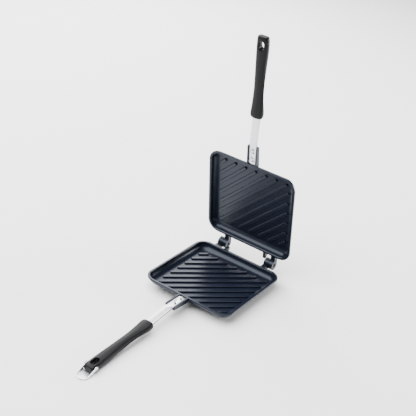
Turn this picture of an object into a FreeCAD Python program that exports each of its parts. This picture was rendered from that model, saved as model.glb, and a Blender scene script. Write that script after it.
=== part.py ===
"""Two-pan stovetop sandwich maker, open, standing on its lower pan.

Frame: X runs along the hinge, -Y points to the grips, +Z is up.
The pieces are drawn about a point on the hob, under the lower pan's middle.
The whole is then moved along Y, so that the origin lies on the hob under
the middle of the space that it takes.
Both halves are the same pieces: the upper half is the lower one turned
over about Y and then swung open about the hinge.
"""
import FreeCAD, Part
import math
import os

from FreeCAD import Vector

# Pan casting, outside
pan_width = 150.0
pan_length = 150.0
pan_corner_radius = 19.0
pan_depth = 20.0
parting_gap = 0.2
rim_height = 2.9
rim_edge_round = 0.7
casting_wall = 1.9
foot_inset = 20.5
foot_width = 7.0
foot_edge_chamfer = 0.8
foot_corner_radius = 14.0
foot_recess_corner = 8.0

# Pan casting, inside
rim_width = 3.3
wall_draft = 0.9
cavity_depth = 11.4
cavity_fillet = 10.0
floor_thickness = 3.1

# Ribs of the cooking face
rib_count = 13
rib_pitch = 12.7
rib_shift = -1.0
rib_width = 5.2
rib_height = 2.2
rib_edge_round = 0.9
rib_margin_side = 13.8
rib_margin_end = 16.2
rib_angle = 45.0

# Hinges
hinge_offset = 15.3
hinge_spread = 43.0
knuckle_radius = 7.8
knuckle_length = 7.4
knuckle_gap = 0.5
hinge_arm_drop = 0.6
hinge_arm_height = 7.6
pin_radius = 2.5
pin_running_clearance = 0.06
pin_end_recess = 1.2
guard_lug_width = 4.6
guard_lug_gap = 2.2
guard_lug_reach = 10.6
guard_lug_height = 6.4
open_angle = 80.0

# Bracket on the front edge
bracket_length = 31.0
bracket_wall = 2.3
bracket_drop = 0.3
bracket_floor = 3.9
bracket_tip_floor = 2.2
bracket_nose = 1.0

# Handle bar
bar_width = 12.0
bar_thickness = 2.0
bar_side_clearance = 0.2
bar_end_clearance = 0.3
bar_top_depth = 1.6
bar_first_bend = 34.6
bar_second_bend = 76.0
bar_neck_fall = 4.8
bar_tang_length = 62.0
bar_tang_fall = 3.0
tang_hole_radius = 2.2
tang_hole_first = 22.0
tang_hole_spacing = 26.0

# Rivets
rivet_shank_radius = 2.2
rivet_head_radius = 3.8
rivet_head_height = 1.2
rivet_tail_radius = 3.2
rivet_tail_height = 1.0
rivet_first = 8.6
rivet_spacing = 13.9
spot_face_margin = 0.5
spot_face_depth = 0.3

# Grips
grip_start = 77.6
grip_length = 122.4
grip_inner_round = 2.2
grip_outer_round = 3.6
hole_width = 8.0
hole_length = 13.6
hole_from_tip = 13.0
notch_from_tip = 13.5
notch_width = 7.0
notch_depth = 0.7
clip_recess_length = 9.8
clip_recess_half = 8.1

# Locking clip
clip_thickness = 0.8
clip_side_clearance = 0.3
clip_end_clearance = 0.3
clip_hob_clearance = 0.4
clip_length = 22.5
clip_corner_radius = 7.5
clip_lip_height = 1.6
clip_plate_tuck = 1.5
clip_eye_radius = 2.7
clip_pivot_from_tip = 6.0
clip_pin_radius = 1.5
clip_pin_engagement = 2.4
clip_pin_clearance = 0.06
clip_pin_head_radius = 2.4
clip_pin_head_height = 0.7
clip_pin_head_gap = 0.15

# Stations along the grip: share of its length from its near end, half width,
# and how far its inner and outer faces lie from the parting plane.
grip_stations = (
    (0.0, 8.6, 4.0, 10.6),
    (0.013, 9.6, 3.4, 12.0),
    (0.049, 10.0, 3.5, 12.9),
    (0.106, 9.4, 4.4, 13.2),
    (0.184, 8.6, 5.3, 12.8),
    (0.278, 7.9, 6.0, 12.0),
    (0.376, 7.6, 6.3, 13.0),
    (0.482, 7.6, 6.6, 14.9),
    (0.605, 7.8, 7.3, 16.6),
    (0.727, 8.4, 8.5, 18.0),
    (0.842, 8.9, 9.5, 19.0),
    (0.927, 8.8, 10.1, 19.2),
    (0.976, 7.9, 10.6, 18.6),
    (1.0, 5.8, 11.6, 17.2),
)

half_width = pan_width / 2
half_length = pan_length / 2
rim_level = pan_depth - parting_gap / 2
front_edge = -half_length
floor_level = pan_depth - cavity_depth
underside = floor_level - floor_thickness
hinge_y = half_length + hinge_offset
hinge_point = Vector(0, hinge_y, pan_depth)
grip_tip = grip_start + grip_length
clip_plate_depth = pan_depth - clip_hob_clearance - clip_thickness
clip_pivot_drop = clip_plate_depth - clip_pivot_from_tip - clip_end_clearance
clip_pivot_reach = grip_tip - clip_pivot_from_tip
clip_pivot = Vector(0, front_edge - clip_pivot_reach, pan_depth - clip_pivot_drop)
clip_inner_half = clip_recess_half + clip_side_clearance
rivet_reaches = (rivet_first, rivet_first + rivet_spacing)
tang_hole_reaches = (bar_second_bend + tang_hole_first, bar_second_bend + tang_hole_first + tang_hole_spacing)
bar_seat = bar_top_depth + bar_thickness


def front(reach):
    """Y of a point that lies the given distance in front of the pan."""
    return front_edge - reach


def below(drop):
    """Z of a point that lies the given distance under the parting plane."""
    return pan_depth - drop


def box(x0, x1, y0, y1, z0, z1):
    return Part.makeBox(x1 - x0, y1 - y0, z1 - z0, Vector(x0, y0, z0))


def upright(radius, reach, z0, z1):
    """Upright cylinder on the centre line, in front of the pan."""
    return Part.makeCylinder(radius, z1 - z0, Vector(0, front(reach), z0))


def rounded_slab(half_x, half_y, radius, z0, z1):
    """Upright slab with rounded corners, centred on the pan."""
    block = box(-half_x, half_x, -half_y, half_y, z0, z1)
    corners = [e for e in block.Edges if e.BoundBox.ZLength > (z1 - z0) / 2]
    return block.makeFillet(radius, corners)


def prism_x(points, x0, x1):
    """Prism along X over an outline of (y, z) points."""
    outline = Part.makePolygon([Vector(x0, y, z) for y, z in points + points[:1]])
    return Part.Face(outline).extrude(Vector(x1 - x0, 0, 0))


def arc_edge(first, middle, last):
    return Part.Arc(Vector(*first), Vector(*middle), Vector(*last)).toShape()


def line_edge(first, last):
    return Part.LineSegment(Vector(*first), Vector(*last)).toShape()


def around_the_pan(edges):
    """Pieces that carry a section round the pan's four sides and corners.

    The section is drawn at the -X edge with the inset as its X. It ends on
    the line of the corner centres.
    """
    section = Part.Face(Part.Wire(edges))
    straight_y = pan_length - 2 * pan_corner_radius
    straight_x = pan_width - 2 * pan_corner_radius
    side = section.copy()
    side.translate(Vector(-half_width, -straight_y / 2, 0))
    side = side.extrude(Vector(0, straight_y, 0))
    end = section.copy()
    end.rotate(Vector(0, 0, 0), Vector(0, 0, 1), 90)
    end.translate(Vector(straight_x / 2, -half_length, 0))
    end = end.extrude(Vector(-straight_x, 0, 0))
    corner = section.copy()
    corner.translate(Vector(-half_width, -straight_y / 2, 0))
    corner = corner.revolve(Vector(-straight_x / 2, -straight_y / 2, 0), Vector(0, 0, 1), 90)
    far_corner = corner.mirror(Vector(0, 0, 0), Vector(0, 1, 0))
    left_and_front = [side, end, corner, far_corner]
    others = [side, corner, far_corner]
    mirrored = [shape.mirror(Vector(0, 0, 0), Vector(1, 0, 0)) for shape in others]
    return left_and_front + mirrored + [end.mirror(Vector(0, 0, 0), Vector(0, 1, 0))]


def fillet_centre():
    """Inset and level of the centre shared by the inner and outer bends."""
    return rim_width + wall_draft + cavity_fillet, floor_level + cavity_fillet


def outer_section():
    """Rim, and the bent wall that runs into the floor."""
    inner = pan_corner_radius
    soft = rim_edge_round
    nick = soft * (1 - math.sqrt(0.5))
    low = rim_level - rim_height
    centre_x, centre_z = fillet_centre()
    radius = cavity_fillet + casting_wall
    start_angle = math.pi + math.asin((centre_z - low) / radius)
    run = inner - centre_x
    fall = centre_z - underside
    span = math.hypot(run, fall)
    end_angle = 2 * math.pi - math.atan2(fall, run) - math.acos(radius / span)
    bend = []
    for angle in (start_angle, (start_angle + end_angle) / 2, end_angle):
        bend.append((centre_x + radius * math.cos(angle), 0, centre_z + radius * math.sin(angle)))
    return [
        line_edge((inner, 0, rim_level), (soft, 0, rim_level)),
        arc_edge((soft, 0, rim_level), (nick, 0, rim_level - nick), (0, 0, rim_level - soft)),
        line_edge((0, 0, rim_level - soft), (0, 0, low + soft)),
        arc_edge((0, 0, low + soft), (nick, 0, low + nick), (soft, 0, low)),
        line_edge((soft, 0, low), bend[0]),
        arc_edge(*bend),
        line_edge(bend[2], (inner, 0, underside)),
        line_edge((inner, 0, underside), (inner, 0, rim_level)),
    ]


def cavity_section():
    """Room for the bread: drafted wall, then a wide fillet to the floor."""
    inner = pan_corner_radius
    centre_x, centre_z = fillet_centre()
    diagonal = cavity_fillet * math.sqrt(0.5)
    wall_foot = (rim_width + wall_draft, 0, centre_z)
    fillet_middle = (centre_x - diagonal, 0, centre_z - diagonal)
    return [
        line_edge((inner, 0, rim_level), (rim_width, 0, rim_level)),
        line_edge((rim_width, 0, rim_level), wall_foot),
        arc_edge(wall_foot, fillet_middle, (centre_x, 0, floor_level)),
        line_edge((centre_x, 0, floor_level), (inner, 0, floor_level)),
        line_edge((inner, 0, floor_level), (inner, 0, rim_level)),
    ]


def pan_core(z0, z1):
    """Middle of the pan, between the lines of the corner centres."""
    half_x = half_width - pan_corner_radius
    half_y = half_length - pan_corner_radius
    return box(-half_x, half_x, -half_y, half_y, z0, z1)


def rib(offset):
    """One round-ended rib, or None where the corner leaves no room."""
    angle = math.radians(rib_angle)
    along = Vector(math.cos(angle), math.sin(angle), 0)
    across = Vector(-along.y, along.x, 0)
    base = across * offset
    half = rib_width / 2
    reach_x = half_width - rib_margin_side - half
    reach_y = half_length - rib_margin_end - half
    low = max((-reach_x - base.x) / along.x, (-reach_y - base.y) / along.y)
    high = min((reach_x - base.x) / along.x, (reach_y - base.y) / along.y)
    if high <= low:
        return None
    root = floor_thickness / 2
    lift = Vector(0, 0, floor_level - root)
    first = base + along * low + lift
    last = base + along * high + lift
    side = across * half
    tip = along * half
    outline = Part.Wire([
        Part.LineSegment(first + side, last + side).toShape(),
        Part.Arc(last + side, last + tip, last - side).toShape(),
        Part.LineSegment(last - side, first - side).toShape(),
        Part.Arc(first - side, first - tip, first + side).toShape(),
    ])
    body = Part.Face(outline).extrude(Vector(0, 0, rib_height + root))
    crest = [e for e in body.Edges if e.BoundBox.ZMin > floor_level + rib_height / 2]
    return body.makeFillet(rib_edge_round, crest)


def ribs():
    offsets = [(index - (rib_count - 1) / 2) * rib_pitch + rib_shift for index in range(rib_count)]
    shapes = [rib(offset) for offset in offsets]
    return [shape for shape in shapes if shape is not None]


def knuckle_starts():
    """Left end of the outer and of the inner knuckle of one casting."""
    outer = -hinge_spread - knuckle_gap / 2 - knuckle_length
    inner = hinge_spread - knuckle_gap / 2 - knuckle_length
    return outer, inner


def knuckle_bore(start, radius):
    return Part.makeCylinder(radius, knuckle_length, Vector(start, hinge_y, pan_depth), Vector(1, 0, 0))


def hinge_side():
    """Knuckles on their arms, and the lug that guards the other knuckle."""
    wall_line = half_length - rim_width
    top = below(hinge_arm_drop)
    low = top - hinge_arm_height
    shapes = []
    for start in knuckle_starts():
        arm = [
            (wall_line, top),
            (hinge_y, top),
            (hinge_y, pan_depth - knuckle_radius),
            (half_length, low),
            (wall_line, low),
        ]
        shapes.append(prism_x(arm, start, start + knuckle_length))
        shapes.append(knuckle_bore(start, knuckle_radius))
    lug_start = -hinge_spread + knuckle_gap / 2 + knuckle_length + guard_lug_gap
    lug_tip = half_length + guard_lug_reach
    half_height = guard_lug_height / 2
    lug = [
        (wall_line, top),
        (lug_tip, top),
        (lug_tip, top - half_height),
        (lug_tip - half_height, top - guard_lug_height),
        (wall_line, top - guard_lug_height),
    ]
    shapes.append(prism_x(lug, lug_start, lug_start + guard_lug_width))
    return shapes


def bracket_depth_at(reach):
    """How far the bracket's sloping underside lies from the parting plane."""
    share = reach / bracket_length
    return bar_seat + bracket_floor + (bracket_tip_floor - bracket_floor) * share


def rivet_seat(reach):
    """Level of the spot face that a rivet's tail sits on."""
    return below(bracket_depth_at(reach + rivet_tail_radius + spot_face_margin) - spot_face_depth)


def bracket():
    """Arm that carries the handle bar, before its channel is cut."""
    half = bar_width / 2 + bar_side_clearance + bracket_wall
    top = below(bracket_drop)
    root = front_edge + rim_width
    outline = [
        (root, top),
        (front(bracket_length - bracket_nose), top),
        (front(bracket_length), top - bracket_nose),
        (front(bracket_length), below(bracket_depth_at(bracket_length))),
        (front_edge, below(bracket_depth_at(0))),
        (root, below(bracket_depth_at(0))),
    ]
    return prism_x(outline, -half, half)


def bracket_cuts():
    """Channel for the bar, and the rivets' holes and spot faces."""
    half = bar_width / 2 + bar_side_clearance
    past_end = front(bracket_length + bracket_nose)
    cuts = [box(-half, half, past_end, front_edge, below(bar_seat), pan_depth)]
    for reach in rivet_reaches:
        cuts.append(upright(rivet_shank_radius, reach, 0, pan_depth))
        cuts.append(upright(rivet_tail_radius + spot_face_margin, reach, 0, rivet_seat(reach)))
    return cuts


def foot():
    """Square ring that the pan stands on."""
    ring = rounded_slab(half_width - foot_inset, half_length - foot_inset, foot_corner_radius, 0, underside)
    lower_edges = [e for e in ring.Edges if e.BoundBox.ZMax < foot_edge_chamfer]
    ring = ring.makeChamfer(foot_edge_chamfer, lower_edges)
    inset = foot_inset + foot_width
    recess = rounded_slab(half_width - inset, half_length - inset, foot_recess_corner, 0, underside)
    return ring.cut(recess)


def casting(pin_hole_radius):
    """One pan with its hinge knuckles, bracket, foot and ribs."""
    solid = pan_core(underside, rim_level)
    solid = solid.multiFuse(around_the_pan(outer_section()) + hinge_side() + [bracket(), foot()])
    cavity = pan_core(floor_level, rim_level).multiFuse(around_the_pan(cavity_section()))
    bores = [knuckle_bore(start, pin_hole_radius) for start in knuckle_starts()]
    solid = solid.cut([cavity] + bores + bracket_cuts())
    return solid.multiFuse(ribs()).removeSplitter()


def bar_blank():
    """Bent strip: flat in the bracket, falling neck, then the tang."""
    tang_end = bar_second_bend + bar_tang_length
    neck_end_depth = bar_top_depth + bar_neck_fall
    line = [
        (front(bar_end_clearance), below(bar_top_depth)),
        (front(bar_first_bend), below(bar_top_depth)),
        (front(bar_second_bend), below(neck_end_depth)),
        (front(tang_end), below(neck_end_depth + bar_tang_fall)),
    ]
    lower_line = [(y, z - bar_thickness) for y, z in reversed(line)]
    return prism_x(line + lower_line, -bar_width / 2, bar_width / 2)


def handle_bar():
    """Bar with its rivet holes and the tang's holes for the grip."""
    holes = [upright(rivet_shank_radius, reach, 0, pan_depth) for reach in rivet_reaches]
    holes += [upright(tang_hole_radius, reach, 0, pan_depth) for reach in tang_hole_reaches]
    return bar_blank().cut(holes)


def rivet(reach):
    """Domed head on the bar, shank through bar and bracket, flat tail."""
    head_seat = below(bar_top_depth)
    tail_seat = rivet_seat(reach)
    shank = upright(rivet_shank_radius, reach, tail_seat, head_seat)
    tail = upright(rivet_tail_radius, reach, tail_seat - rivet_tail_height, tail_seat)
    rise = rivet_head_height
    dome_radius = (rivet_head_radius ** 2 + rise ** 2) / (2 * rise)
    dome = Part.makeSphere(dome_radius, Vector(0, front(reach), head_seat + rise - dome_radius))
    head = dome.common(upright(rivet_head_radius, reach, head_seat, head_seat + rise))
    return shank.multiFuse([head, tail]).removeSplitter()


def grip_section(share, half, inner_drop, outer_drop):
    """Rounded rectangle across the grip at one station."""
    y = front(grip_start + share * grip_length)
    height = outer_drop - inner_drop
    arcs = []
    for side_x, side_z in ((1, 1), (-1, 1), (-1, -1), (1, -1)):
        wanted = grip_inner_round if side_z > 0 else grip_outer_round
        soft = min(wanted, height * 0.45, half / 2)
        nick = soft * (1 - math.sqrt(0.5))
        x = side_x * half
        z = below(inner_drop if side_z > 0 else outer_drop)
        on_side = (x, y, z - side_z * soft)
        bend = (x - side_x * nick, y, z - side_z * nick)
        on_face = (x - side_x * soft, y, z)
        arcs.append((on_side, bend, on_face) if side_x * side_z > 0 else (on_face, bend, on_side))
    edges = []
    for index, arc in enumerate(arcs):
        edges.append(arc_edge(*arc))
        edges.append(line_edge(arc[2], arcs[(index + 1) % 4][0]))
    return Part.Wire(edges)


def grip():
    """Moulded grip round the tang, with hanging hole, notch and recesses."""
    body = Part.makeLoft([grip_section(*station) for station in grip_stations], True, False)
    hole_reach = grip_tip - hole_from_tip
    straight = (hole_length - hole_width) / 2
    half = hole_width / 2
    slot = box(-half, half, front(hole_reach + straight), front(hole_reach - straight), 0, pan_depth)
    cuts = [handle_bar(), slot]
    cuts += [upright(half, hole_reach + shift, 0, pan_depth) for shift in (-straight, straight)]
    notch_radius = (notch_width ** 2 / 4 + notch_depth ** 2) / (2 * notch_depth)
    deepest = max(station[3] for station in grip_stations)
    notch_level = below(deepest) + notch_depth - notch_radius
    notch_start = Vector(-half_width, front(grip_tip - notch_from_tip), notch_level)
    cuts.append(Part.makeCylinder(notch_radius, pan_width, notch_start, Vector(1, 0, 0)))
    recess_end = front(grip_tip + clip_recess_length)
    recess_start = front(grip_tip - clip_recess_length)
    socket_start = clip_recess_half - clip_pin_engagement
    for side in (-1, 1):
        near = side * clip_recess_half
        far = side * half_width
        cuts.append(box(min(near, far), max(near, far), recess_end, recess_start, 0, pan_depth))
        socket = clip_pivot + Vector(side * socket_start, 0, 0)
        cuts.append(Part.makeCylinder(clip_pin_radius, half_width, socket, Vector(side, 0, 0)))
    return body.cut(cuts)


def clip_outline(grow, level):
    """Round-ended outline of the clip in plan, grown by the sheet."""
    back = clip_pivot.y + clip_eye_radius + grow
    half = clip_inner_half + grow
    tip = clip_pivot.y - clip_length - grow
    corner = clip_corner_radius + grow
    nick = corner * (1 - math.sqrt(0.5))
    side_end = tip + corner
    flat = half - corner
    return Part.Wire([
        line_edge((half, back, level), (half, side_end, level)),
        arc_edge((half, side_end, level), (half - nick, tip + nick, level), (flat, tip, level)),
        line_edge((flat, tip, level), (-flat, tip, level)),
        arc_edge((-flat, tip, level), (nick - half, tip + nick, level), (-half, side_end, level)),
        line_edge((-half, side_end, level), (-half, back, level)),
        line_edge((-half, back, level), (half, back, level)),
    ])


def locking_clip():
    """Pressed tray: a plate, and sides that rise to the pivot eyes."""
    plate_top = below(clip_plate_depth)
    plate_low = plate_top - clip_thickness
    rise = Vector(0, 0, pan_depth)
    tray = Part.Face(clip_outline(clip_thickness, plate_low)).extrude(rise)
    room = Part.Face(clip_outline(0, plate_top)).extrude(rise)
    plate_start = front(grip_tip + clip_end_clearance - clip_plate_tuck)
    behind = clip_pivot.y + clip_eye_radius + 2 * clip_thickness
    grip_room = box(-clip_inner_half, clip_inner_half, plate_start, behind, 0, pan_depth)
    past_end = clip_pivot.y - clip_length - 2 * clip_thickness
    span = clip_inner_half + 2 * clip_thickness
    eye_start = clip_pivot - Vector(span, 0, 0)
    eye = Part.makeCylinder(clip_eye_radius, 2 * span, eye_start, Vector(1, 0, 0))
    lean = math.asin(clip_eye_radius / math.hypot(clip_length, clip_pivot.z - plate_top))
    side = prism_x([
        (clip_pivot.y, clip_pivot.z + clip_eye_radius),
        (past_end, plate_top + clip_lip_height),
        (past_end, plate_low),
        (plate_start, plate_low),
        (clip_pivot.y + clip_eye_radius * math.cos(lean), clip_pivot.z - clip_eye_radius * math.sin(lean)),
    ], -span, span)
    pin_hole = Part.makeCylinder(clip_pin_radius + clip_pin_clearance, 2 * span, eye_start, Vector(1, 0, 0))
    return tray.common(side.fuse(eye)).cut([room, grip_room, pin_hole]).removeSplitter()


def clip_pin(side):
    """Headed pin pressed into the grip's side; the clip's arm turns on it."""
    arm_outside = clip_inner_half + clip_thickness
    start = clip_recess_half - clip_pin_engagement
    head_start = arm_outside + clip_pin_head_gap
    direction = Vector(side, 0, 0)
    shank = Part.makeCylinder(clip_pin_radius, head_start - start, clip_pivot + direction * start, direction)
    head_base = clip_pivot + direction * head_start
    head = Part.makeCylinder(clip_pin_head_radius, clip_pin_head_height, head_base, direction)
    return shank.fuse(head).removeSplitter()


def hinge_pin(side):
    """Pin of one hinge: driven into the lower pan, turning in the upper."""
    reach = knuckle_length + knuckle_gap / 2 - pin_end_recess
    start = Vector(side * hinge_spread - reach, hinge_y, pan_depth)
    return Part.makeCylinder(pin_radius, 2 * reach, start, Vector(1, 0, 0))


def upper(shape):
    """Turn a lower piece over about Y and swing it open with the lid."""
    turned = shape.copy()
    turned.rotate(hinge_point, Vector(0, 1, 0), 180)
    turned.rotate(hinge_point, Vector(1, 0, 0), -open_angle)
    return turned


bar_shape = handle_bar()
grip_shape = grip()
rear_rivet = rivet(rivet_reaches[0])
front_rivet = rivet(rivet_reaches[1])

nodes = {
    "lower_pan": casting(pin_radius),
    "left_hinge_pin": hinge_pin(-1),
    "right_hinge_pin": hinge_pin(1),
    "lower_handle_bar": bar_shape,
    "lower_rear_rivet": rear_rivet,
    "lower_front_rivet": front_rivet,
    "lower_grip": grip_shape,
    "left_clip_pin": clip_pin(-1),
    "right_clip_pin": clip_pin(1),
    "locking_clip": locking_clip(),
    "upper_pan": upper(casting(pin_radius + pin_running_clearance)),
    "upper_handle_bar": upper(bar_shape),
    "upper_rear_rivet": upper(rear_rivet),
    "upper_front_rivet": upper(front_rivet),
    "upper_grip": upper(grip_shape),
}

space = Part.makeCompound(list(nodes.values())).optimalBoundingBox()
to_origin = Vector(0, -(space.YMin + space.YMax) / 2, 0)

os.makedirs("parts", exist_ok=True)
for name, shape in nodes.items():
    shape.translate(to_origin)
    shape.exportStep("parts/" + name + ".step")
    print(name, "valid", shape.isValid(), "solids", len(shape.Solids), "mm3", round(shape.Volume))
print("moved along Y by", round(to_origin.y, 4))
print("hinge axis at", hinge_point + to_origin)
print("clip pivot at", clip_pivot + to_origin)
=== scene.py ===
"""Stovetop sandwich maker: two hinged ribbed pans, riveted steel bars, moulded grips and a swinging clip."""
import math

import bpy
from mathutils import Matrix, Vector


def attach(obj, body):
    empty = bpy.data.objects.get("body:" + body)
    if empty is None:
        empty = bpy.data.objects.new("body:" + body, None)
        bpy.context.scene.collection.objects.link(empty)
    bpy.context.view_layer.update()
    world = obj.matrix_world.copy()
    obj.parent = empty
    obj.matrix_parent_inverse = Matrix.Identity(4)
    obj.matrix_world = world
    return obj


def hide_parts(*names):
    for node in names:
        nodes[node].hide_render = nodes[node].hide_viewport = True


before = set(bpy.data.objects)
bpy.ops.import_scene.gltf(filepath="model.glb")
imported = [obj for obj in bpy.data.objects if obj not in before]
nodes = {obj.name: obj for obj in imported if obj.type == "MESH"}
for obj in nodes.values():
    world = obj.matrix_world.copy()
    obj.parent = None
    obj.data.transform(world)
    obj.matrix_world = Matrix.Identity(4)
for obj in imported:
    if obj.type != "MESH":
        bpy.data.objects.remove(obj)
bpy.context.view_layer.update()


# Camera. It stands to the right of the front and looks down on the open pans.
# The picture is a little turned, so the camera is rolled by the same amount.
camera_data = bpy.data.cameras.new("camera")
camera_data.sensor_width = 36.0
camera_data.lens = 80.12
camera_data.clip_end = 30.0
camera = bpy.data.objects.new("camera", camera_data)
bpy.context.scene.collection.objects.link(camera)
to_right = Vector((0.80709, 0.57889, 0.11618))
to_top = Vector((-0.36542, 0.33519, 0.86840))
to_back = Vector((0.46376, -0.74333, 0.48206))
turn = Matrix((to_right, to_top, to_back)).transposed()
camera.matrix_world = Matrix.Translation((0.594125, -0.89825, 0.76814)) @ turn.to_4x4()
bpy.context.scene.camera = camera


# Pans: one casting used twice, the upper one turned over on the hinge. Cast
# aluminium, shot blasted and sprayed with a PTFE non-stick coat that is baked
# on. The coat fills the blasted grain and leaves a satin, faintly pebbled skin.
def srgb(code):
    """Linear colour of an sRGB hex value."""
    parts = [int(code[i:i + 2], 16) / 255 for i in (0, 2, 4)]
    linear = [c / 12.92 if c <= 0.04045 else ((c + 0.055) / 1.055) ** 2.4 for c in parts]
    return (*linear, 1.0)


def add_node(tree, kind, settings, values, links):
    """Add a node with its settings, its inputs' values and its inputs' links."""
    node = tree.nodes.new(kind)
    for name, value in settings.items():
        setattr(node, name, value)
    for key, value in values.items():
        node.inputs[key].default_value = value
    for key, socket in links.items():
        tree.links.new(socket, node.inputs[key])
    return node


def start_material(name):
    """A new material, its node tree, its shader and its Object coordinates."""
    material = bpy.data.materials.new(name)
    material.use_nodes = True
    tree = material.node_tree
    shader = tree.nodes["Principled BSDF"]
    place = add_node(tree, "ShaderNodeTexCoord", {}, {}, {}).outputs["Object"]
    return material, tree, shader, place


def finish_material(tree, shader, values, links):
    """Set the shader's own values and link what varies over the surface."""
    for key, value in values.items():
        shader.inputs[key].default_value = value
    for key, socket in links.items():
        tree.links.new(socket, shader.inputs[key])


coat, tree, shader, place = start_material("ptfe_coated_cast_aluminium")
# Pebbles of about 1.2 mm, drawn coarser than the real 0.3 mm so that they show.
pebble = add_node(tree, "ShaderNodeTexNoise", {}, {"Scale": 830.0, "Detail": 3.0, "Roughness": 0.6}, {"Vector": place})
# The spray lies thicker and thinner over patches of about 35 mm.
cloud = add_node(tree, "ShaderNodeTexNoise", {}, {"Scale": 28.0, "Detail": 2.0}, {"Vector": place})
tone = add_node(tree, "ShaderNodeMix", {"data_type": "RGBA"}, {"A": srgb("0c0f1a"), "B": srgb("121723")}, {"Factor": cloud.outputs["Fac"]})
gloss = add_node(tree, "ShaderNodeMapRange", {}, {"To Min": 0.27, "To Max": 0.35}, {"Value": cloud.outputs["Fac"]})
skin = add_node(tree, "ShaderNodeBump", {}, {"Strength": 0.10, "Distance": 0.0002}, {"Height": pebble.outputs["Fac"]})
finish_material(tree, shader, {"IOR": 1.36, "Specular Tint": srgb("e4efff")}, {"Base Color": tone.outputs[2], "Roughness": gloss.outputs["Result"], "Normal": skin.outputs["Normal"]})


def paint(piece, material):
    """Give a piece or a CAD node its only material."""
    piece.data.materials.clear()
    piece.data.materials.append(material)


for name in ("lower_pan", "upper_pan"):
    paint(nodes[name], coat)


# Handle bars: stainless strip 12 by 2 mm, rolled bright, sheared to length,
# cranked down past the bracket and punched for two rivets and two mould holes.
# Its sheared edges are tumbled round, so a thin bright line follows them.
pan_front = 0.01933
parting = 0.020


def block(name, low, high):
    """A cube primitive at its size and place, with its place in its mesh."""
    bpy.ops.object.select_all(action="DESELECT")
    middle = [(a + b) / 2 for a, b in zip(low, high)]
    size = [b - a for a, b in zip(low, high)]
    bpy.ops.mesh.primitive_cube_add(size=1.0, location=middle, scale=size)
    bpy.ops.object.transform_apply(location=True, rotation=True, scale=True)
    piece = bpy.context.active_object
    piece.name = name
    piece.data.name = name
    return piece


def rod(name, radius, first, last, sides):
    """A cylinder primitive from one point to another."""
    bpy.ops.object.select_all(action="DESELECT")
    run = Vector(last) - Vector(first)
    middle = (Vector(first) + Vector(last)) / 2
    bpy.ops.mesh.primitive_cylinder_add(
        vertices=sides, radius=radius, depth=run.length, location=middle, rotation=run.to_track_quat("Z", "Y").to_euler())
    bpy.ops.object.transform_apply(location=True, rotation=True, scale=True)
    piece = bpy.context.active_object
    piece.name = name
    return piece


def edit(piece, kind, test):
    """Open a piece in edit mode with the faces or edges selected that pass a test.

    The test gets a face's middle and normal, or an edge's middle and direction.
    """
    bpy.ops.object.select_all(action="DESELECT")
    piece.select_set(True)
    bpy.context.view_layer.objects.active = piece
    mesh = piece.data
    for group in (mesh.vertices, mesh.edges, mesh.polygons):
        group.foreach_set("select", [False] * len(group))
    if kind == "FACE":
        for face in mesh.polygons:
            face.select = test(face.center, face.normal)
    else:
        for edge in mesh.edges:
            first, last = (mesh.vertices[i].co for i in edge.vertices)
            edge.select = test((first + last) / 2, (last - first).normalized())
            if edge.select:
                for i in edge.vertices:
                    mesh.vertices[i].select = True
    bpy.context.tool_settings.mesh_select_mode = (False, kind == "EDGE", kind == "FACE")
    bpy.ops.object.mode_set(mode="EDIT")


def stop_edit():
    bpy.ops.object.mode_set(mode="OBJECT")


def apply_modifier(piece, kind, **settings):
    """Add a modifier and apply it at once."""
    bpy.ops.object.select_all(action="DESELECT")
    piece.select_set(True)
    bpy.context.view_layer.objects.active = piece
    modifier = piece.modifiers.new(kind.lower(), kind)
    for name, value in settings.items():
        setattr(modifier, name, value)
    bpy.ops.object.modifier_apply(modifier=modifier.name)


def cut(piece, tool):
    """Cut a piece with a tool piece, which is used up."""
    apply_modifier(piece, "BOOLEAN", object=tool, operation="DIFFERENCE", solver="EXACT")
    bpy.data.objects.remove(tool)


def smooth(piece, degrees):
    """Smooth shading, with the edges above an angle left sharp."""
    bpy.ops.object.select_all(action="DESELECT")
    piece.select_set(True)
    bpy.context.view_layer.objects.active = piece
    bpy.ops.object.shade_smooth_by_angle(angle=math.radians(degrees))


def on_upper_half(piece, name):
    """A copy of a lower piece, turned over about Y and swung open on the hinge."""
    hinge = Matrix.Translation((0.0, 0.18462968, parting))
    swing = Matrix.Rotation(math.radians(-80.0), 4, "X") @ Matrix.Rotation(math.pi, 4, "Y")
    copy = piece.copy()
    copy.data = piece.data.copy()
    copy.name = name
    copy.data.name = name
    bpy.context.scene.collection.objects.link(copy)
    copy.data.transform(hinge @ swing @ hinge.inverted())
    return copy


def faces_front(middle, normal):
    return normal.y < -0.9


bar = block("lower_strip", (-0.006, pan_front - 0.0346, parting - 0.0036), (0.006, pan_front - 0.0003, parting - 0.0016))
edit(bar, "FACE", faces_front)
bpy.ops.mesh.extrude_region_move(TRANSFORM_OT_translate={"value": (0.0, -0.0414, -0.0048)})
bpy.ops.mesh.extrude_region_move(TRANSFORM_OT_translate={"value": (0.0, -0.0620, -0.0030)})
stop_edit()
edit(bar, "EDGE", lambda middle, way: abs(way.x) > 0.9 and pan_front - 0.08 < middle.y < pan_front - 0.03)
bpy.ops.mesh.bevel(offset=0.0022, segments=4, affect="EDGES")
stop_edit()
for reach in (0.0086, 0.0225, 0.098, 0.124):
    cut(bar, rod("punch", 0.0022, (0.0, pan_front - reach, 0.0), (0.0, pan_front - reach, parting), 24))
apply_modifier(bar, "BEVEL", width=0.00035, segments=2, limit_method="ANGLE", angle_limit=math.radians(40.0))
smooth(bar, 40.0)
upper_bar = on_upper_half(bar, "upper_strip")


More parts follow.
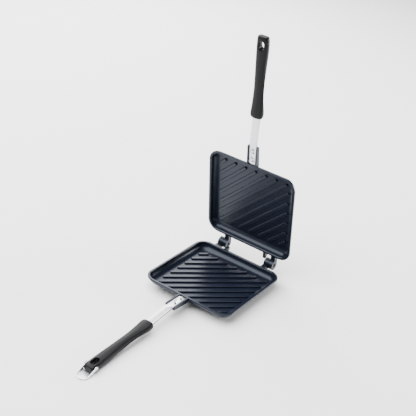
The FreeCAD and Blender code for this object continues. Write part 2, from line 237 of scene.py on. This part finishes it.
def rolled_strip(name, tilt):
    """Stainless strip with its rolling lines along the bar, 80 degrees up for the upper one."""
    material, tree, shader, place = start_material(name)
    turned = add_node(tree, "ShaderNodeMapping", {}, {"Rotation": (math.radians(tilt), 0.0, 0.0)}, {"Vector": place})
    # Rolling lines are drawn 0.5 mm apart and 30 mm long; the real ones are a tenth of that.
    stretched = add_node(tree, "ShaderNodeMapping", {}, {"Scale": (2000.0, 33.0, 400.0)}, {"Vector": turned.outputs["Vector"]})
    grain = add_node(tree, "ShaderNodeTexNoise", {}, {"Scale": 1.0, "Detail": 3.0}, {"Vector": stretched.outputs["Vector"]})
    gloss = add_node(tree, "ShaderNodeMapRange", {}, {"To Min": 0.20, "To Max": 0.36}, {"Value": grain.outputs["Fac"]})
    tone = add_node(tree, "ShaderNodeMix", {"data_type": "RGBA"}, {"A": srgb("c3c6ca"), "B": srgb("d9dbde")}, {"Factor": grain.outputs["Fac"]})
    lines = add_node(tree, "ShaderNodeBump", {}, {"Strength": 0.06, "Distance": 0.0001}, {"Height": grain.outputs["Fac"]})
    finish_material(tree, shader, {"Metallic": 1.0}, {"Base Color": tone.outputs[2], "Roughness": gloss.outputs["Result"], "Normal": lines.outputs["Normal"]})
    return material


paint(bar, rolled_strip("rolled_stainless_strip_level", 0.0))
paint(upper_bar, rolled_strip("rolled_stainless_strip_raised", 80.0))
for piece, half in ((bar, "lower"), (upper_bar, "upper")):
    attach(piece, half + "_half")
    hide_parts(half + "_handle_bar")


# Rivets and pins: drawn stainless wire. The rivets' heads are upset to low
# domes in a polished die, and the pins are cut and tumbled.
wire, tree, shader, place = start_material("drawn_stainless_wire")
dents = add_node(tree, "ShaderNodeTexNoise", {}, {"Scale": 700.0, "Detail": 1.0}, {"Vector": place})
gloss = add_node(tree, "ShaderNodeMapRange", {}, {"To Min": 0.08, "To Max": 0.16}, {"Value": dents.outputs["Fac"]})
pits = add_node(tree, "ShaderNodeBump", {}, {"Strength": 0.05, "Distance": 0.0001}, {"Height": dents.outputs["Fac"]})
finish_material(tree, shader, {"Base Color": srgb("c4c6c9"), "Metallic": 1.0}, {"Roughness": gloss.outputs["Result"], "Normal": pits.outputs["Normal"]})
for name, node in nodes.items():
    if name.endswith("rivet") or name.endswith("pin"):
        paint(node, wire)


# Grips: grey phenolic, moulded round the bars' tangs in a two-part mould that
# leaves a raised line along both sides. Each has a hanging hole with a rounded
# lip, a thumb notch below, and cheeks cut back at its end for the clip's arms.
grip_front = pan_front - 0.0776
grip_tip = grip_front - 0.1224
grip_stations = (
    (0.0000, 0.0086, 0.0038, 0.0112),
    (0.0016, 0.0096, 0.0034, 0.0120),
    (0.0060, 0.0100, 0.0035, 0.0129),
    (0.0130, 0.0094, 0.0044, 0.0132),
    (0.0225, 0.0086, 0.0053, 0.0128),
    (0.0340, 0.0079, 0.0060, 0.0120),
    (0.0460, 0.0076, 0.0063, 0.0130),
    (0.0590, 0.0076, 0.0066, 0.0149),
    (0.0740, 0.0078, 0.0073, 0.0166),
    (0.0890, 0.0084, 0.0085, 0.0180),
    (0.1030, 0.0089, 0.0095, 0.0190),
    (0.1120, 0.0089, 0.0101, 0.0192),
    (0.1185, 0.0088, 0.0105, 0.0190),
    (0.1216, 0.0080, 0.0112, 0.0186),
    (0.1224, 0.0062, 0.0122, 0.0178),
)
first = grip_stations[0]
grip = block("lower_moulding", (-first[1], grip_front - grip_stations[1][0], parting - first[3]), (first[1], grip_front, parting - first[2]))
edit(grip, "FACE", faces_front)
for before, after in zip(grip_stations, grip_stations[1:]):
    if before is not first:
        bpy.ops.mesh.extrude_region_move(TRANSFORM_OT_translate={"value": (0.0, before[0] - after[0], 0.0)})
    centre = (0.0, grip_front - after[0], parting - (before[2] + before[3]) / 2)
    growth = (after[1] / before[1], 1.0, (after[3] - after[2]) / (before[3] - before[2]))
    bpy.ops.transform.resize(value=growth, center_override=centre)
    bpy.ops.transform.translate(value=(0.0, 0.0, (before[2] + before[3] - after[2] - after[3]) / 2))
stop_edit()


def grip_middle(y):
    """Height of the middle of the grip's thickness, falling towards its tip."""
    return parting - 0.0082 - 0.0062 * (grip_front - y) / 0.1224


edit(grip, "EDGE", lambda middle, way: abs(way.x) > 0.9 and middle.z > grip_middle(middle.y))
bpy.ops.mesh.subdivide(number_cuts=1)
stop_edit()
edit(grip, "EDGE", lambda middle, way: abs(way.y) > 0.5 and abs(middle.x) < 0.0001 and middle.z > grip_middle(middle.y))
bpy.ops.transform.translate(value=(0.0, 0.0, 0.0016))
stop_edit()
edit(grip, "EDGE", lambda middle, way: abs(way.y) > 0.5 and abs(middle.x) > 0.004 and middle.z > grip_middle(middle.y))
bpy.ops.mesh.bevel(offset=0.0030, segments=3, affect="EDGES")
stop_edit()
edit(grip, "EDGE", lambda middle, way: abs(way.y) > 0.5 and middle.z < grip_middle(middle.y) - 0.001 and abs(middle.x) > 0.004)
bpy.ops.mesh.bevel(offset=0.0030, segments=3, affect="EDGES")
stop_edit()
edit(grip, "FACE", lambda middle, normal: abs(normal.y) > 0.9 and abs(middle.x) < 0.0001)
bpy.ops.mesh.inset(thickness=0.0010)
stop_edit()


def from_mould_line(middle):
    """Height of a point over the plane where the mould halves met."""
    return middle.z - parting + 0.0072 + 0.0070 * (grip_front - middle.y) / 0.1224


def on_mould_line(middle, way):
    return abs(from_mould_line(middle)) < 0.0002 and abs(way.y) > 0.5 and abs(middle.x) > 0.004


edit(grip, "FACE", lambda middle, normal: True)
for shift in (-0.0008, 0.0, 0.0008):
    bpy.ops.mesh.select_all(action="SELECT")
    start = (0.0, grip_front, parting - 0.0072 + shift)
    bpy.ops.mesh.bisect(plane_co=start, plane_no=(0.0, -0.0070, 0.1224))
stop_edit()
edit(grip, "EDGE", on_mould_line)
bpy.ops.transform.resize(value=(1.12, 1.0, 1.0), center_override=(0.0, 0.0, 0.0))
stop_edit()
apply_modifier(grip, "SUBSURF", levels=2, render_levels=2)

hole_y = grip_tip + 0.013
hole_top = parting - 0.0092


def oval(name, low, high):
    """A cutter of the hanging hole's outline between two heights."""
    piece = block(name, (-0.004, hole_y - 0.0068, low), (0.004, hole_y + 0.0068, high))
    edit(piece, "EDGE", lambda middle, way: abs(way.z) > 0.9)
    bpy.ops.mesh.bevel(offset=0.0039, segments=8, affect="EDGES")
    stop_edit()
    return piece


cut(grip, oval("drill", 0.0, parting))
countersink = oval("countersink", hole_top - 0.0008, hole_top + 0.0008)
edit(countersink, "FACE", lambda middle, normal: normal.z > 0.9)
bpy.ops.transform.resize(value=(1.18, 1.11, 1.0), center_override=(0.0, hole_y, hole_top))
stop_edit()
here = Matrix.Translation((0.0, hole_y, hole_top))
countersink.data.transform(here @ Matrix.Rotation(math.radians(3.4), 4, "X") @ here.inverted())
cut(grip, countersink)
cut(grip, rod("notch_cutter", 0.0091, (-0.02, grip_tip + 0.0135, -0.0076), (0.02, grip_tip + 0.0135, -0.0076), 96))
for side in (-1, 1):
    near, far = sorted((side * 0.0081, side * 0.02))
    cut(grip, block("cheek_cutter", (near, grip_tip - 0.01, -0.01), (far, grip_tip + 0.0098, parting)))
    cut(grip, rod("socket_drill", 0.0015, (side * 0.0057, grip_tip + 0.006, 0.0075), (side * 0.02, grip_tip + 0.006, 0.0075), 24))


smooth(grip, 35.0)
upper_grip = on_upper_half(grip, "upper_moulding")

phenolic, tree, shader, place = start_material("moulded_grey_phenolic")
# Wood flour in the resin clouds the grey over patches of about 25 mm.
cloud = add_node(tree, "ShaderNodeTexNoise", {}, {"Scale": 40.0, "Detail": 3.0}, {"Vector": place})
tone = add_node(tree, "ShaderNodeMix", {"data_type": "RGBA"}, {"A": srgb("0c0d0e"), "B": srgb("121315")}, {"Factor": cloud.outputs["Fac"]})
# The mould is etched with a grain of about 0.2 mm, drawn at 0.7 mm.
grain = add_node(tree, "ShaderNodeTexNoise", {}, {"Scale": 1400.0, "Detail": 2.0}, {"Vector": place})
skin = add_node(tree, "ShaderNodeBump", {}, {"Strength": 0.12, "Distance": 0.0002}, {"Height": grain.outputs["Fac"]})
gloss = add_node(tree, "ShaderNodeMapRange", {}, {"To Min": 0.30, "To Max": 0.40}, {"Value": cloud.outputs["Fac"]})
finish_material(tree, shader, {"IOR": 1.5, "Specular IOR Level": 0.12}, {"Base Color": tone.outputs[2], "Roughness": gloss.outputs["Result"], "Normal": skin.outputs["Normal"]})
for piece, half in ((grip, "lower"), (upper_grip, "upper")):
    paint(piece, phenolic)
    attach(piece, half + "_half")
    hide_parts(half + "_grip")


# Locking clip: one pressed stainless tray with upturned sides. The blank is
# pierced for two pins, drawn up round a die, and its edges are tumbled.
pivot_y = grip_tip + 0.006
pivot_z = 0.0075
clip_end = pivot_y - 0.0225 - 0.0008
clip = block("pressed_clip", (-0.0092, clip_end, 0.0004), (0.0092, pivot_y + 0.0027, pivot_z + 0.0027))
edit(clip, "EDGE", lambda middle, way: abs(way.z) > 0.9 and middle.y < clip_end + 0.001)
bpy.ops.mesh.bevel(offset=0.0083, segments=9, affect="EDGES")
stop_edit()
edit(clip, "EDGE", lambda middle, way: abs(way.z) < 0.1 and middle.z < 0.001 and middle.y < pivot_y)
bpy.ops.mesh.bevel(offset=0.0013, segments=4, affect="EDGES")
stop_edit()
edit(clip, "FACE", lambda middle, normal: normal.z > 0.9 or normal.y > 0.9)
bpy.ops.mesh.delete(type="FACE")
bpy.ops.mesh.select_all(action="SELECT")
bpy.ops.mesh.bisect(
    plane_co=(0.0, pivot_y, pivot_z + 0.0027), plane_no=(0.0, -0.0074, 0.0233), clear_outer=True)
stop_edit()
apply_modifier(clip, "SOLIDIFY", thickness=0.0008, offset=-1.0, use_even_offset=True)
edit(clip, "EDGE", lambda middle, way: abs(way.x) > 0.9 and middle.y > pivot_y + 0.0026 and middle.z > 0.009)
bpy.ops.mesh.bevel(offset=0.0024, segments=5, affect="EDGES")
stop_edit()
opening = block("press_cutter", (-0.0083, pivot_y - 0.0050, -0.001), (0.0083, pivot_y + 0.01, 0.0044))
cut(clip, opening)
wedge = block("shear_cutter", (-0.02, pivot_y - 0.0050, -0.005), (0.02, pivot_y + 0.01, pivot_z - 0.0046))
edit(wedge, "EDGE", lambda middle, way: abs(way.x) > 0.9 and middle.y > pivot_y and middle.z > 0.0)
bpy.ops.transform.translate(value=(0.0, 0.0, 0.0045))
stop_edit()
cut(clip, wedge)
cut(clip, rod("eye_punch", 0.00156, (-0.02, pivot_y, pivot_z), (0.02, pivot_y, pivot_z), 32))
smooth(clip, 35.0)

sheet, tree, shader, place = start_material("pressed_stainless_sheet")
# Fine drawing lines along the press stroke, 0.4 mm apart and 8 mm long.
stretched = add_node(tree, "ShaderNodeMapping", {}, {"Scale": (2500.0, 125.0, 125.0)}, {"Vector": place})
grain = add_node(tree, "ShaderNodeTexNoise", {}, {"Scale": 1.0, "Detail": 2.0}, {"Vector": stretched.outputs["Vector"]})
gloss = add_node(tree, "ShaderNodeMapRange", {}, {"To Min": 0.26, "To Max": 0.40}, {"Value": grain.outputs["Fac"]})
lines = add_node(tree, "ShaderNodeBump", {}, {"Strength": 0.05, "Distance": 0.0001}, {"Height": grain.outputs["Fac"]})
finish_material(tree, shader, {"Base Color": srgb("d6d8dc"), "Metallic": 1.0}, {"Roughness": gloss.outputs["Result"], "Normal": lines.outputs["Normal"]})
paint(clip, sheet)
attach(clip, "clip")
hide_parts("locking_clip")


# Floor: a broad pale board, matte, that the lower pan's foot ring stands on.
bpy.ops.object.select_all(action="DESELECT")
bpy.ops.mesh.primitive_plane_add(size=12.0, location=(0.0, 0.0, 0.0))
floor = bpy.context.active_object
floor.name = "floor"
board, tree, shader, place = start_material("pale_matte_board")
finish_material(tree, shader, {"Base Color": srgb("fbfbfb"), "Roughness": 0.9}, {})
paint(floor, board)


# Lights: a large soft box high on the left and behind, which the coat mirrors,
# and an even pale room round the whole.
def soft_box(name, place, target, width, height, power):
    """Rectangular area light aimed at a point."""
    data = bpy.data.lights.new(name, "AREA")
    data.shape = "RECTANGLE"
    data.size = width
    data.size_y = height
    data.energy = power
    light = bpy.data.objects.new(name, data)
    bpy.context.scene.collection.objects.link(light)
    light.location = place
    light.rotation_euler = (Vector(target) - Vector(place)).to_track_quat("-Z", "Y").to_euler()


soft_box("back_box", (-1.15, 1.15, 0.85), (0.0, 0.05, 0.05), 1.3, 0.9, 30.0)
soft_box("key_box", (-0.7, -0.35, 1.9), (0.0, 0.0, 0.08), 3.0, 3.0, 220.0)
soft_box("side_box", (1.1, 1.5, 0.55), (0.0, 0.0, 0.05), 0.8, 0.6, 32.0)
room = bpy.data.worlds.new("room")
room.use_nodes = True
room.node_tree.nodes["Background"].inputs["Color"].default_value = srgb("fafbff")
room.node_tree.nodes["Background"].inputs["Strength"].default_value = 0.20
bpy.context.scene.world = room
